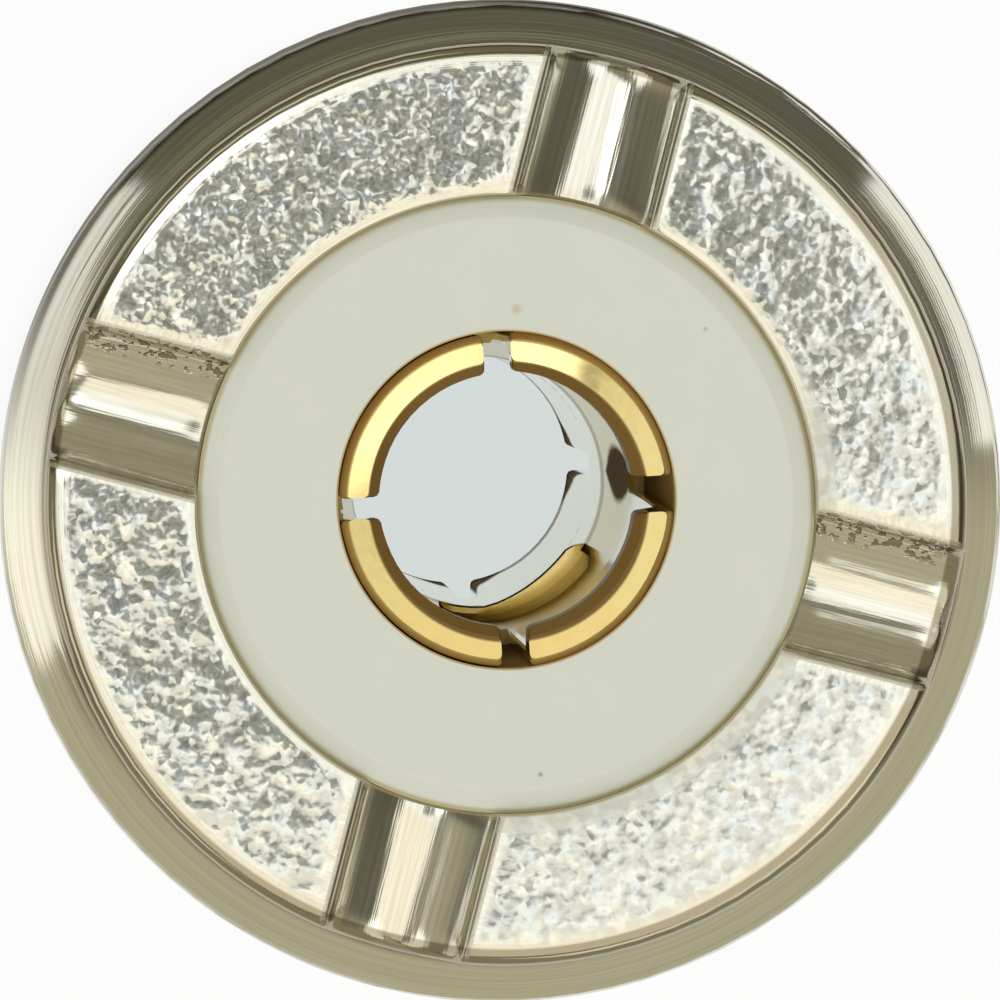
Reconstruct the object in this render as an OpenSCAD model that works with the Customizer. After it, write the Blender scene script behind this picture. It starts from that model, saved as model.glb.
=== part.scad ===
// Straight coaxial adapter: a barrel with a threaded socket at each end.
// Millimetres. The axis is +Z. The barrel stands on its rear end face at zero height,
// and its front end face looks up.

/* [Overall] */
// Length of the barrel from end face to end face
overall_len = 29; // [27:0.5:36]

/* [Outer thread] */
// Diameter over the thread crests
thread_d = 15.85; // [15.4:0.05:16.3]
// Width of the plain band between the two threads
band_w = 5; // [3:0.5:6]
// Bevel on both edges of the plain band
band_bevel = 0.25; // [0.1:0.05:0.4]
// Diameter at the floor of the two thread relief grooves
relief_d = 14.4; // [13.8:0.1:14.8]
// Width of the floor of each thread relief groove
relief_w = 1.2; // [0.8:0.1:1.6]

/* [Nose] */
// Diameter of the plain nose ahead of each thread
nose_d = 14.4; // [13.8:0.1:14.8]
// Length of the plain nose ahead of each thread
nose_len = 1.5; // [1.3:0.1:2]
// Radius of the rounded outer edge of each end face
nose_round = 0.25; // [0.1:0.05:0.3]

/* [Notches] */
// Number of notches across each end face
notch_count = 4; // [3:1:6]
// Width of a notch where it opens at the end face
notch_w = 2.3; // [2.1:0.1:2.8]
// Depth of a notch at its middle
notch_depth = 0.6; // [0.4:0.05:1.05]
// Angle of the first notch about the axis
notch_turn = -14.5; // [-45:0.5:45]

/* [Bore] */
// Diameter of the bore that holds the insulators
bore_d = 9.65; // [9:0.05:10.4]
// Bevel at both mouths of the bore
bore_bevel = 0.15; // [0.05:0.05:0.3]
// Inside diameter of the locating rib at the middle of the bore
rib_d = 8.4; // [7.8:0.1:8.8]
// Width of the locating rib, and of the contact's collar inside it
rib_w = 2; // [1.5:0.1:3]

/* [Insulators] */
// Radial clearance between an insulator and the bore
insulator_fit = 0.02; // [0.01:0.01:0.05]
// Depth of each insulator's face below the end face
insulator_recess = 0.1; // [0.05:0.05:0.4]
// Width of the shallow bevel round each insulator's face
insulator_bevel = 0.36; // [0.1:0.02:0.5]
// Drop of that bevel at the bore
insulator_drop = 0.14; // [0.05:0.01:0.3]

/* [Center contact] */
// Outside diameter of the contact tube
contact_d = 5.22; // [5:0.02:5.6]
// Diameter of the hole in the front half, behind the lip
front_hole_d = 4.72; // [4.5:0.02:4.9]
// Diameter of the hole in the rear half, which takes a plug's pin
rear_hole_d = 4.2; // [4.1:0.02:4.4]
// Slope at the outer side of the step where the two holes meet
step_bevel = 0.12; // [0.04:0.02:0.2]
// Diameter inside the lip at the front mouth, which grips a plug's pin
lip_d = 4; // [3.9:0.02:4.1]
// Length of the lip at the front mouth
lip_len = 1.2; // [0.8:0.1:2]
// Radial clearance between the contact and an insulator
contact_fit = 0.02; // [0.01:0.01:0.05]
// Depth of the contact's tips below the end face
contact_recess = 0.15; // [0.05:0.05:0.5]
// Diameter of the collar at the contact's middle
collar_d = 7.2; // [6.4:0.1:7.6]
// Number of spring fingers at each end of the contact
finger_count = 4; // [2:1:6]
// How far the front fingers are closed in at their tips
finger_pinch = 0.04; // [0:0.02:0.12]
// Width of the slits between the fingers
slit_w = 0.45; // [0.3:0.05:0.7]
// Length of the slits between the fingers
slit_len = 10; // [5:0.5:11]
// Angle of the first slit about the axis
slit_turn = 3.5; // [-45:0.5:45]
// Radius of the rounded outer edge of the finger tips
tip_round = 0.1; // [0.05:0.05:0.15]
// Radius of the rounded lead-in at both mouths of the hole
lead_in = 0.15; // [0.1:0.05:0.2]

/* [Hidden] */
$fn = 96;

half_len = overall_len / 2;
thread_r = thread_d / 2;
nose_r = nose_d / 2;
bore_r = bore_d / 2;
contact_r = contact_d / 2;
front_hole_r = front_hole_d / 2;
rear_hole_r = rear_hole_d / 2;
lip_r = lip_d / 2;
insulator_r = bore_r - insulator_fit;
insulator_hole_r = contact_r + contact_fit;
// both slopes of the thread stand at 45 degrees, so they are as long as they are deep
lead_slope = thread_r - nose_r;
relief_slope = thread_r - relief_d / 2;
// heights of the finger tips and of the foot of the slits above the middle of the barrel
tip_z = half_len - contact_recess;
slit_foot = tip_z - slit_len;
// the round cutter that leaves a notch of this width and depth
notch_r = (notch_w * notch_w / 4 + notch_depth * notch_depth) / (2 * notch_depth);

// Points along an arc, from one angle to another
function arc(center, radius, from, to, steps = 5) =
    [for (i = [0:steps]) center + radius * [cos(from + (to - from) * i / steps),
                                            sin(from + (to - from) * i / steps)]];

// A whole outline from its upper half, whose heights count from the middle of the barrel
function both_halves(upper) =
    concat(upper, [for (i = [len(upper) - 1:-1:0]) [upper[i][0], -upper[i][1]]]);

// Upper half of the body's outline, from the plain band out to the end face and down the bore
body_upper = concat(
    [[thread_r, band_w / 2 - band_bevel],
     [thread_r - band_bevel, band_w / 2],
     [relief_d / 2, band_w / 2],
     [relief_d / 2, band_w / 2 + relief_w],
     [thread_r, band_w / 2 + relief_w + relief_slope],
     [thread_r, half_len - nose_len - lead_slope],
     [nose_r, half_len - nose_len]],
    arc([nose_r - nose_round, half_len - nose_round], nose_round, 0, 90),
    [[bore_r + bore_bevel, half_len],
     [bore_r, half_len - bore_bevel],
     [bore_r, rib_w / 2],
     [rib_d / 2, rib_w / 2]]);

// How far the front fingers have closed in at a height above the middle of the barrel
function closed_in(z) = finger_pinch * (z - slit_foot) / slit_len;

// Height at which the sloping back of the lip meets the front hole
lip_foot = tip_z - lip_len - (front_hole_r - finger_pinch - lip_r);

// Outline of the contact, from the collar round the front fingers, down the hole and round the rear ones
contact_outline = concat(
    [[collar_d / 2, -rib_w / 2],
     [collar_d / 2, rib_w / 2],
     [contact_r, rib_w / 2],
     [contact_r, slit_foot]],
    arc([contact_r - finger_pinch - tip_round, tip_z - tip_round], tip_round, 0, 90),
    arc([lip_r + lead_in, tip_z - lead_in], lead_in, 90, 180),
    [[lip_r, tip_z - lip_len],
     [front_hole_r - closed_in(lip_foot), lip_foot],
     [front_hole_r, slit_foot],
     [front_hole_r, step_bevel],
     [front_hole_r - step_bevel, 0],
     [rear_hole_r, 0]],
    arc([rear_hole_r + lead_in, lead_in - tip_z], lead_in, 180, 270),
    arc([contact_r - tip_round, tip_round - tip_z], tip_round, 270, 360),
    [[contact_r, -rib_w / 2]]);

module notches() {
    for (i = [0:notch_count - 1])
        rotate([0, 0, notch_turn + i * 360 / notch_count])
            for (z = [notch_depth - notch_r, overall_len - notch_depth + notch_r])
                translate([0, 0, z])
                    rotate([0, 90, 0])
                        cylinder(r = notch_r, h = thread_d);
}

module slits() {
    for (i = [0:finger_count - 1])
        rotate([0, 0, slit_turn + i * 360 / finger_count])
            for (z = [contact_recess - 1, overall_len - contact_recess - slit_len])
                translate([0, -slit_w / 2, z])
                    cube([contact_d, slit_w, slit_len + 1]);
}

// One bushing, with its face looking up and its inner end on the locating rib
module insulator() {
    rotate_extrude()
        polygon([[insulator_hole_r, half_len + rib_w / 2],
                 [insulator_r, half_len + rib_w / 2],
                 [insulator_r, overall_len - insulator_recess - insulator_drop],
                 [insulator_r - insulator_bevel, overall_len - insulator_recess],
                 [insulator_hole_r, overall_len - insulator_recess]]);
}

module body() {
    color("silver")
        difference() {
            translate([0, 0, half_len])
                rotate_extrude()
                    polygon(both_halves(body_upper));
            notches();
        }
}

module front_insulator() {
    color("ivory")
        insulator();
}

module rear_insulator() {
    color("ivory")
        translate([0, 0, overall_len])
            rotate([180, 0, 0])
                insulator();
}

module center_contact() {
    color("gold")
        difference() {
            translate([0, 0, half_len])
                rotate_extrude()
                    polygon(contact_outline);
            slits();
        }
}

body();
front_insulator();
rear_insulator();
center_contact();
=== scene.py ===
# %% [markdown]
# # A coaxial adapter, seen straight down its axis
# The part is a short threaded barrel that joins two cable plugs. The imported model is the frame:
# it fixes every size and place, and the cells below give its pieces their finish.

# %% Load the frame
import math

import bpy
from mathutils import Matrix, Quaternion, Vector


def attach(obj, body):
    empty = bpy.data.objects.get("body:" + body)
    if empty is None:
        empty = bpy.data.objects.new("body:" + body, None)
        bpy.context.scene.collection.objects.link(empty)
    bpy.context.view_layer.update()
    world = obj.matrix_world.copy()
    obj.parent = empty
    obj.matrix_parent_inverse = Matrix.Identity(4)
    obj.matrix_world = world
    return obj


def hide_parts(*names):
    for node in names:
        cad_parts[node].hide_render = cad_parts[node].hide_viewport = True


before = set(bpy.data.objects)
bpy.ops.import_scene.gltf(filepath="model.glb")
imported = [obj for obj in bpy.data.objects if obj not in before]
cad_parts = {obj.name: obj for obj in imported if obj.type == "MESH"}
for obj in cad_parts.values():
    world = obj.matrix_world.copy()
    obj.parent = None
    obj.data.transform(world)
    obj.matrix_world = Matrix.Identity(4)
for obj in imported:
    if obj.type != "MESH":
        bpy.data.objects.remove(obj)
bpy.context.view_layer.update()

MM = 0.001

# %% [markdown]
# ## Sizes of the turned pieces
# These are the sizes of the solids, repeated here in millimetres because the scene reads no other
# file. The thread's depth and pitch are new: the solids have a plain cylinder over the crests. The
# edges, and the place of the contact, follow the one example in the photograph, so they differ from
# the solids by hundredths of a millimetre.

# %% Sizes
LENGTH = 29.0
BODY = {
    "Half length": LENGTH / 2,
    "Crest radius": 15.85 / 2,
    "Pitch": 25.4 / 24,
    "Thread depth": 0.573,
    "Nose radius": 7.2,
    "Nose length": 1.5,
    "Nose round": 0.17,
    "Relief radius": 7.2,
    "Relief width": 1.2,
    "Band width": 5.0,
    "Band bevel": 0.25,
    "Bore radius": 4.825,
    "Bore round": 0.05,
    "Rib radius": 4.2,
    "Rib width": 2.0,
    "Notch depth": 0.6,
    "Notch cutter": 1.402,
    "Notch round": 0.12,
    "Worn edge": 0.26,
}
WEAR = 0.07  # how far a worn edge has sunk, as a share of its width
NOTCH_TURN = math.radians(-14.5)  # angle of the first notch about the axis
SLIT_TURN = math.radians(3.5)  # angle of the contact's first slit
LEDGE = math.radians(-69.0)  # side of the hole on which the step shows
STOP = math.radians(-38.0)  # side of the hole on which the step has a low ridge
OFF_CENTRE = 0.075  # the contact stands this far off the barrel's axis
print("thread:", round(BODY["Pitch"], 4), "mm pitch, right hand")

# %% [markdown]
# ## Sums with sockets
# Geometry Nodes and materials are both built from nodes. They could be laid out by hand in the
# editor, but a formula is shorter and easier to read. Wrapping a socket in a small class lets a
# formula be written as a Python expression: each operator adds one Math node.


# %% The class that turns expressions into nodes
class Wire:
    """A socket of a node tree that takes part in ordinary sums."""

    def __init__(self, tree, socket=None):
        self.tree, self.socket = tree, socket

    def node(self, kind, sockets=None, settings=None, out=0):
        """Adds any node, with the values or links of its sockets, and its settings."""
        made = self.tree.nodes.new(kind)
        for name, value in (settings or {}).items():
            setattr(made, name, value)
        for key, value in (sockets or {}).items():
            for one in value if isinstance(value, list) else [value]:
                if isinstance(one, Wire):
                    self.tree.links.new(one.socket, made.inputs[key])
                else:
                    made.inputs[key].default_value = one
        return Wire(self.tree, made.outputs[out])

    def math(self, operation, *others, first=None):
        values = [self if first is None else first, *others]
        return self.node("ShaderNodeMath", dict(enumerate(values)), {"operation": operation})

    def __add__(self, other):
        return self.math("ADD", other)

    def __sub__(self, other):
        return self.math("SUBTRACT", other)

    def __rsub__(self, other):
        return self.math("SUBTRACT", self, first=other)

    def __mul__(self, other):
        return self.math("MULTIPLY", other)

    def __truediv__(self, other):
        return self.math("DIVIDE", other)

    def __rtruediv__(self, other):
        return self.math("DIVIDE", self, first=other)

    def __neg__(self):
        return self.math("MULTIPLY", -1.0)

    def __abs__(self):
        return self.math("ABSOLUTE")

    __radd__, __rmul__ = __add__, __mul__

    def clamp(self, low=0.0, high=1.0):
        return self.math("MAXIMUM", low).math("MINIMUM", high)

    def step(self, low, high):
        """Rises smoothly from 0 at low to 1 at high."""
        sockets = {"Value": self, "From Min": low, "From Max": high}
        return self.node("ShaderNodeMapRange", sockets, {"interpolation_type": "SMOOTHSTEP"})

    def xyz(self):
        split = self.node("ShaderNodeSeparateXYZ", {0: self})
        return [Wire(self.tree, socket) for socket in split.socket.node.outputs]


def hypot(x, y):
    """Distance of a point from the origin, given its two coordinates."""
    return (x * x + y * y).math("SQRT")


def count(what, tree):
    print(f"{what}: {len(tree.nodes)} nodes so far")


print("operators ready")

# %% [markdown]
# ## A sheet that is rolled into a turned piece
# A lathe part is one outline swept round an axis. Here a flat grid is the sheet: across it runs
# the angle, up it runs the outline. Setting the position of each point rolls the sheet up, and
# because angle and height are both at hand, the same formula can cut a helix or a notch. A Screw
# modifier would sweep the outline too, but not cut anything into it.


# %% Start of a tree, and its flat sheet
def new_tree(name, sizes, whole=()):
    """A Geometry Nodes tree with named size inputs. Returns the tree and its inputs as wires."""
    tree = bpy.data.node_groups.new(name, "GeometryNodeTree")
    tree.interface.new_socket("Geometry", in_out="INPUT", socket_type="NodeSocketGeometry")
    for size in sizes:
        tree.interface.new_socket(size, in_out="INPUT", socket_type="NodeSocketFloat")
    for count in whole:
        tree.interface.new_socket(count, in_out="INPUT", socket_type="NodeSocketInt")
    tree.interface.new_socket("Geometry", in_out="OUTPUT", socket_type="NodeSocketGeometry")
    given = tree.nodes.new("NodeGroupInput")
    return tree, {s.name: Wire(tree, s) for s in given.outputs if s.name}


def grid_place(tree):
    """Fields that run from 0 to 1 across and up a flat grid."""
    across, up, _ = Wire(tree).node("GeometryNodeInputPosition").xyz()
    return across + 0.5, up + 0.5


def sheet(tree, columns, rows):
    return Wire(tree).node(
        "GeometryNodeMeshGrid",
        {"Size X": 1.0, "Size Y": 1.0, "Vertices X": columns + 1, "Vertices Y": rows + 1},
    )


print("sheets ready")

# %% [markdown]
# Each point of the sheet is put at an angle, a radius and a height. For an outline of straight runs
# the radius and the height are sums of clamped shares, one for each run.


# %% Rolling a sheet along an outline
def roll(grid, angle, radius, height):
    """Puts each point of a grid at an angle, radius and height."""
    spot = grid.node(
        "ShaderNodeCombineXYZ",
        {0: angle.math("COSINE") * radius, 1: angle.math("SINE") * radius, 2: height},
    )
    return grid.node("GeometryNodeSetPosition", {"Geometry": grid, "Position": spot})


def along(up, points, rows=None):
    """Radius and height on straight runs between points, each run with its number of rows."""
    rows = rows or [1] * (len(points) - 1)
    (radius, height), done = points[0], 0
    for start, end, count in zip(points, points[1:], rows):
        share = ((up * sum(rows) - done) / count).clamp()
        radius = share * (end[0] - start[0]) + radius
        height = share * (end[1] - start[1]) + height
        done += count
    return radius, height


print("rolling ready")

# %% [markdown]
# Sheets that share an edge are joined and welded there, so that a piece is one closed skin. The
# trees work in millimetres, which are easier to check, and scale the piece to metres at the end.

# %% Welding sheets into a piece
WELD = 0.0005  # points closer than this become one


def close(tree, parts):
    """Joins rolled sheets and welds their shared edges."""
    start = Wire(tree)
    joined = start.node("GeometryNodeJoinGeometry", {0: parts[::-1]})
    real = start.node("GeometryNodeRealizeInstances", {"Geometry": joined})
    welded = start.node("GeometryNodeMergeByDistance", {"Geometry": real, "Distance": WELD})
    return start.node("GeometryNodeSetShadeSmooth", {"Geometry": welded})


def use(tree, group, sizes, renamed):
    """A node that runs another tree, with its sizes linked by name, or by another name."""
    made = tree.nodes.new("GeometryNodeGroup")
    made.node_tree = group
    for socket in made.inputs:
        source = renamed.get(socket.name, socket.name)
        if source in sizes and source != "Geometry":
            tree.links.new(sizes[source].socket, socket)
    return Wire(tree, made.outputs[0])


def send(tree, geometry):
    out = tree.nodes.new("NodeGroupOutput")
    tree.links.new(geometry.socket, out.inputs[0])


def send_finished(tree, geometry, material, lift=0.0):
    """Ends a tree: its piece in metres, lifted by some millimetres, with its finish."""
    sockets = {"Geometry": geometry, "Scale": (MM, MM, MM), "Translation": (0.0, 0.0, lift * MM)}
    scaled = geometry.node("GeometryNodeTransform", sockets)
    real = scaled.node("GeometryNodeRealizeInstances", {"Geometry": scaled})
    send(tree, real.node("GeometryNodeSetMaterial", {"Geometry": real, "Material": material}))


def put(name, data):
    """A new object in the scene."""
    made = bpy.data.objects.new(name, data)
    bpy.context.scene.collection.objects.link(made)
    return made


def plain_mesh(name, tree, values, sharp):
    """Runs a tree with these input values and keeps its result as a plain mesh object."""
    seed = put(name + "_seed", bpy.data.meshes.new(name + "_seed"))
    modifier = seed.modifiers.new(name, "NODES")
    modifier.node_group = tree
    for item in tree.interface.items_tree:
        if item.in_out == "INPUT" and item.name in values:
            modifier[item.identifier] = values[item.name]
    graph = bpy.context.evaluated_depsgraph_get()
    mesh = bpy.data.meshes.new_from_object(seed.evaluated_get(graph), depsgraph=graph)
    bpy.data.objects.remove(seed)
    mesh.name = name
    mesh.set_sharp_from_angle(angle=math.radians(sharp))
    piece = put(name, mesh)
    triangles = sum(len(p.vertices) - 2 for p in mesh.polygons)
    print(f"{name}: {len(mesh.vertices)} points, {triangles} triangles")
    return piece


print("helpers ready")

# %% [markdown]
# ## Finishes
# Three finishes show: bright nickel on the body, white plastic bushings, gold on the contact.
# Each gets its own nodes, on Object coordinates in millimetres, so that the pattern stays on the
# part. A painted image could do it too, but nodes stay sharp at any distance.


# %% Start of a finish
def finish_of(name, **constants):
    """A material, its shader with some constants, and the place on the part in millimetres."""
    material = bpy.data.materials.new(name)
    material.use_nodes = True
    tree = material.node_tree
    shader = tree.nodes["Principled BSDF"]
    for socket, value in constants.items():
        shader.inputs[socket.replace("_", " ")].default_value = value
    metres = Wire(tree).node("ShaderNodeTexCoord", out="Object")
    place = metres.node("ShaderNodeVectorMath", {0: metres, "Scale": 1 / MM}, {"operation": "SCALE"})
    return material, shader, place


def plug(shader, **wires):
    for socket, wire in wires.items():
        shader.id_data.links.new(wire.socket, shader.inputs[socket.replace("_", " ")])


def blend(factor, first, second):
    """A colour between two colours or colour wires."""
    first, second = [c if isinstance(c, Wire) else (*c, 1.0) for c in (first, second)]
    sockets = {0: factor, 6: first, 7: second}
    return factor.node("ShaderNodeMix", sockets, {"data_type": "RGBA"}, out=2)


def noise(place, scale, detail=2.0, roughness=0.5):
    sockets = {"Vector": place, "Scale": scale, "Detail": detail, "Roughness": roughness}
    return place.node("ShaderNodeTexNoise", sockets)


def bump(height, strength):
    """Relief that is too small to model, from its height in millimetres."""
    return height.node("ShaderNodeBump", {"Strength": strength, "Distance": MM, "Height": height})


print("finish helpers ready")

# %% [markdown]
# ### Nickel
# The turned and milled surfaces are bright with faint tool lines. The four flats of each end face
# have a sandy grain with a smooth worn border, so a mask finds the flats by height, radius and
# distance from the notches, and the grain fills only that. Other masks find painted shade on the
# nose's rounded edge, the brown line at the bore's edge, painted shade on the crests on one side,
# and the pits on one side of the notches.

# %% Nickel: where each mark lies
nickel, nickel_shader, place = finish_of("bright_nickel")
x, y, z = place.xyz()
radius = hypot(x, y)
turned_x = x * math.cos(NOTCH_TURN) + y * math.sin(NOTCH_TURN)
turned_y = y * math.cos(NOTCH_TURN) - x * math.sin(NOTCH_TURN)
from_notch = abs(turned_x).math("MINIMUM", abs(turned_y))
from_middle = abs(z - LENGTH / 2)
on_end = from_middle.step(LENGTH / 2 - 0.06, LENGTH / 2 - 0.03)
ragged = (noise(place, 3.2, 1.0) - 0.5) * 0.2
lower_side = (x - y).step(1.5, 5.0)
flat = on_end * (radius + ragged + lower_side * 0.12).step(4.88, 5.10)
flat = flat * (1.0 - (radius + ragged).step(6.72, 6.98))
flat = flat * (from_notch + ragged).step(1.20, 1.40)
# painted shade: a dark brown band over the nose's rounded edge and the crevice at its foot, shifted a
# little to one side
rim_radius = radius + (0.6 * x - 0.8 * y) * (0.054 / 7.0)
nose_edge_shade = rim_radius.step(6.95, 7.00) * (1.0 - radius.step(7.22, 7.32))
mouth = 1.0 - radius.step(4.845, 4.875)
rubbed = on_end * (1.0 - radius.step(5.06, 5.20)) * lower_side
# painted shade: the crests on the upper side are darkened, which hides their bright edge
crest = radius.step(7.72, 7.80) * from_middle.step(11.0, 11.8)
crest = crest * y.step(0.0, 4.0) * (1.0 - x.step(1.0, 4.0))
pitted = turned_y.step(0.70, 0.85) * (1.0 - turned_y.step(1.10, 1.16))
pits = noise(place, 7.5, 2.0).step(0.52, 0.60) * pitted * radius.step(4.6, 4.8)
pits = pits * (1.0 - radius.step(7.0, 7.08))
in_notch = (1.0 - from_notch.step(1.14, 1.20)) * (1.0 - radius.step(7.25, 7.3))
in_notch = in_notch * from_middle.step(LENGTH / 2 - 0.8, LENGTH / 2 - 0.7)
count("nickel masks", nickel.node_tree)

# %% [markdown]
# The grain is a crowd of tiny facets, each tilted its own way, over fine and broad waves, coarser on
# one side. It is too small to model, so it is a height for a Bump node. Tool lines are noise that is
# stretched the way the cutter went: round the axis on turned faces, lengthwise in a notch.

# %% Nickel: grain and tool lines
warp = place.node("ShaderNodeTexNoise", {"Vector": place, "Scale": 6.0, "Detail": 1.0}, out="Color")
warped = {0: warp, 1: (0.09, 0.09, 0.09), 2: place}
warped = place.node("ShaderNodeVectorMath", warped, {"operation": "MULTIPLY_ADD"})
crystal = place.node("ShaderNodeTexVoronoi", {"Vector": warped, "Scale": 7.4})
crystal_out = crystal.socket.node.outputs
lean_x, lean_y, _ = Wire(place.tree, crystal_out["Color"]).xyz()
middle_x, middle_y, _ = Wire(place.tree, crystal_out["Position"]).xyz()
facets = (x - middle_x) * (lean_x - 0.5) + (y - middle_y) * (lean_y - 0.5)
sand = noise(place, 4.7, 1.0)
dunes = noise(place, 1.9, 1.0)
lengthwise = abs(turned_x).math("MAXIMUM", abs(turned_y))
milled = {0: from_notch * 16.0, 1: lengthwise * 0.5, 2: turned_x * 0.1}
milled = place.node("ShaderNodeCombineXYZ", milled)
turned = place.node("ShaderNodeCombineXYZ", {0: radius * 14.0, 1: z * 14.0, 2: x / radius})
tool_marks = noise(blend(in_notch, turned, milled), 1.0, 2.0, 0.6)
marks_depth = in_notch * 0.001 + 0.0025 + radius.step(7.2, 7.3) * 0.0015
marks_depth = marks_depth * (1.0 - flat)
coarse = 1.02 + (y - x) * 0.065
grain = facets * 0.048 + (sand - 0.5) * 0.0086 + (dunes - 0.5) * 0.009
height = grain * coarse * flat + (tool_marks - 0.5) * marks_depth - pits * 0.02
count("nickel", nickel.node_tree)

# %% [markdown]
# A metal's Base Color is the colour of its reflections. Nickel is a warm grey, and the marks found
# above are laid over it one after another.

# %% Nickel: colours
nickel_colour = blend(tool_marks.step(0.3, 0.7), (0.66, 0.64, 0.56), (0.77, 0.755, 0.69))
nickel_colour = blend(pits, nickel_colour, (0.34, 0.31, 0.23))
grain_light = blend(dunes.step(0.42, 0.60), (0.80, 0.79, 0.73), (0.72, 0.76, 0.75))
grain_colour = blend(sand.step(0.36, 0.62), (0.62, 0.62, 0.57), grain_light)
nickel_colour = blend(flat, nickel_colour, grain_colour)
# painted shade on the nose's rounded edge
nickel_colour = blend(nose_edge_shade, nickel_colour, (0.36, 0.33, 0.25))
nickel_colour = blend(mouth, nickel_colour, (0.62, 0.57, 0.42))
# painted shade on the upper crests
nickel_colour = blend(crest, nickel_colour, (0.16, 0.145, 0.11))
nickel_roughness = 0.09 + in_notch * 0.02 + flat * 0.02 + 0.05 * tool_marks
plug(
    nickel_shader,
    Base_Color=nickel_colour,
    Metallic=1.0 - 0.6 * mouth,
    Roughness=nickel_roughness + rubbed * 0.25 + mouth * 0.2,
    Normal=bump(height, 1.0),
)
count("nickel", nickel.node_tree)

# %% [markdown]
# ### White plastic
# The bushings are turned from a white fluoropolymer: dull, slightly green in the shade, with fine
# rings left by the lathe tool, for which sine waves of the radius are enough. A lighter ring on the
# bead is a painted highlight. At the bore a brown line lies at the joint with the metal, with
# painted shade in the corner beside it. The hole's wall is gold-brown, a painted reflection of the
# gold contact, and three specks of dust lie on the face.

# %% White plastic finish
# each speck of dust: two coordinates and a width in millimetres, and a colour
SPECKS = [
    (0.157, 3.05, 0.11, (0.80, 0.70, 0.62)),
    (3.10, 2.74, 0.06, (0.62, 0.64, 0.60)),
    (0.53, -4.21, 0.05, (0.50, 0.50, 0.46)),
]
plastic, plastic_shader, place = finish_of("white_plastic", IOR=1.36)
x, y, _ = place.xyz()
radius = hypot(x, y)
wander = noise(place, 0.3, 2.0)
rings = (radius * (2 * math.pi / 0.11) + wander * 9.0).math("SINE")
fine_rings = (radius * (2 * math.pi / 0.037) + wander * 5.0).math("SINE")
lathe = rings * 0.6 + fine_rings * 0.4
cloud = noise(place, 0.9, 4.0, 0.6)
shade = (cloud + lathe * 0.2).clamp()
plastic_colour = blend(shade, (0.85, 0.89, 0.88), (0.90, 0.935, 0.925))
# painted highlight: a lighter ring on the bead where the bevel meets the face
line = radius.step(4.41, 4.44) * (1.0 - radius.step(4.45, 4.48))
plastic_colour = blend(line, plastic_colour, (0.90, 0.92, 0.88))
# a brown line at the joint with the metal, partly painted shade in the corner beside it
joint_line_and_shade = radius.step(4.72, 4.79)
plastic_colour = blend(joint_line_and_shade, plastic_colour, (0.62, 0.56, 0.38))
from_hole = hypot(x, y - OFF_CENTRE)
for spot_x, spot_y, width, colour in SPECKS:
    distance = hypot(x - spot_x, y - spot_y) + (cloud - 0.5) * 0.05
    plastic_colour = blend(distance.step(0.2 * width, width), colour, plastic_colour)
# painted reflection: the hole's wall and edge are gold-brown, as if lit by the gold contact, and less
# rough
hole_gold_reflection = from_hole.step(2.63, 2.67)
plastic_colour = blend(hole_gold_reflection, (0.66, 0.44, 0.16), plastic_colour)
plug(
    plastic_shader,
    Base_Color=plastic_colour,
    Roughness=0.95 - hole_gold_reflection * (0.53 - 0.14 * cloud - 0.03 * lathe),
    Normal=bump(lathe * 0.0012 + cloud * 0.006, 0.35),
)
count("plastic", plastic.node_tree)

# %% [markdown]
# ### Gold
# The contact is plated with gold. The edges of its finger tips carry painted shade, as brown lines.
# Beside the slits there are dull orange-brown patches, which a Mix Shader blends in where their
# mask says so.

# %% Gold: painted shade on the edges, and patches
gold, gold_shader, place = finish_of("gold_plate")
x, y, z = place.xyz()
from_middle = abs(z - LENGTH / 2)
on_tip = from_middle.step(LENGTH / 2 - 0.40, LENGTH / 2 - 0.30)
brushed = noise(place, 3.5, 2.0, 0.6)
from_axis = hypot(x, y - OFF_CENTRE)
# painted shade: brown lines on the inner and outer edges of the finger tips, shifted by side
lower_right = (x - y) * (0.05 * math.sqrt(0.5) / 2.2)
near_mouth = from_middle.step(LENGTH / 2 - 1.4, LENGTH / 2 - 1.2)
inner_edge_shade = near_mouth * (1.0 - (from_axis - lower_right).step(2.16, 2.21))
outer_edge_shade = near_mouth * (from_axis - 0.6 * lower_right).step(2.475, 2.535)
edge = inner_edge_shade.math("MAXIMUM", outer_edge_shade)
along_x = x * math.cos(SLIT_TURN) + (y - OFF_CENTRE) * math.sin(SLIT_TURN)
along_y = (y - OFF_CENTRE) * math.cos(SLIT_TURN) - x * math.sin(SLIT_TURN)
from_slit = abs(along_x).math("MINIMUM", abs(along_y))
# dull orange-brown patches beside the slits at the rear mouth, and one on the right below the end of a
# front slit
slit_patch = z / 4.5 + (from_slit - 0.22) / 0.75
slit_patch = (1.0 - slit_patch.step(0.75, 1.0)) * (1.0 - from_axis.step(2.2, 2.3))
below_slit = (z - 17.4) / 2.3
right_patch = (below_slit * below_slit + abs(along_y - 0.05) / 0.55).step(0.7, 1.0)
right_patch = (1.0 - right_patch) * x.step(1.5, 1.8)
right_patch = right_patch * (1.0 - from_axis.step(2.42, 2.48))
slit_patch = slit_patch.math("MAXIMUM", right_patch)
above_step = z - LENGTH / 2
drilled = (1.0 - from_middle.step(3.0, 8.0)) * above_step.step(0.2, 0.5)
near_step = 1.0 - from_middle.step(0.2, 0.6)
dull = near_step * above_step.step(0.005, 0.04)
count("gold masks", gold.node_tree)

# %% [markdown]
# The edges with painted shade are less metallic and rougher than the plating, and so is the step
# in the hole.

# %% Gold: colours
gold_colour = blend(brushed, (0.63, 0.495, 0.195), (0.74, 0.62, 0.30))
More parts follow.
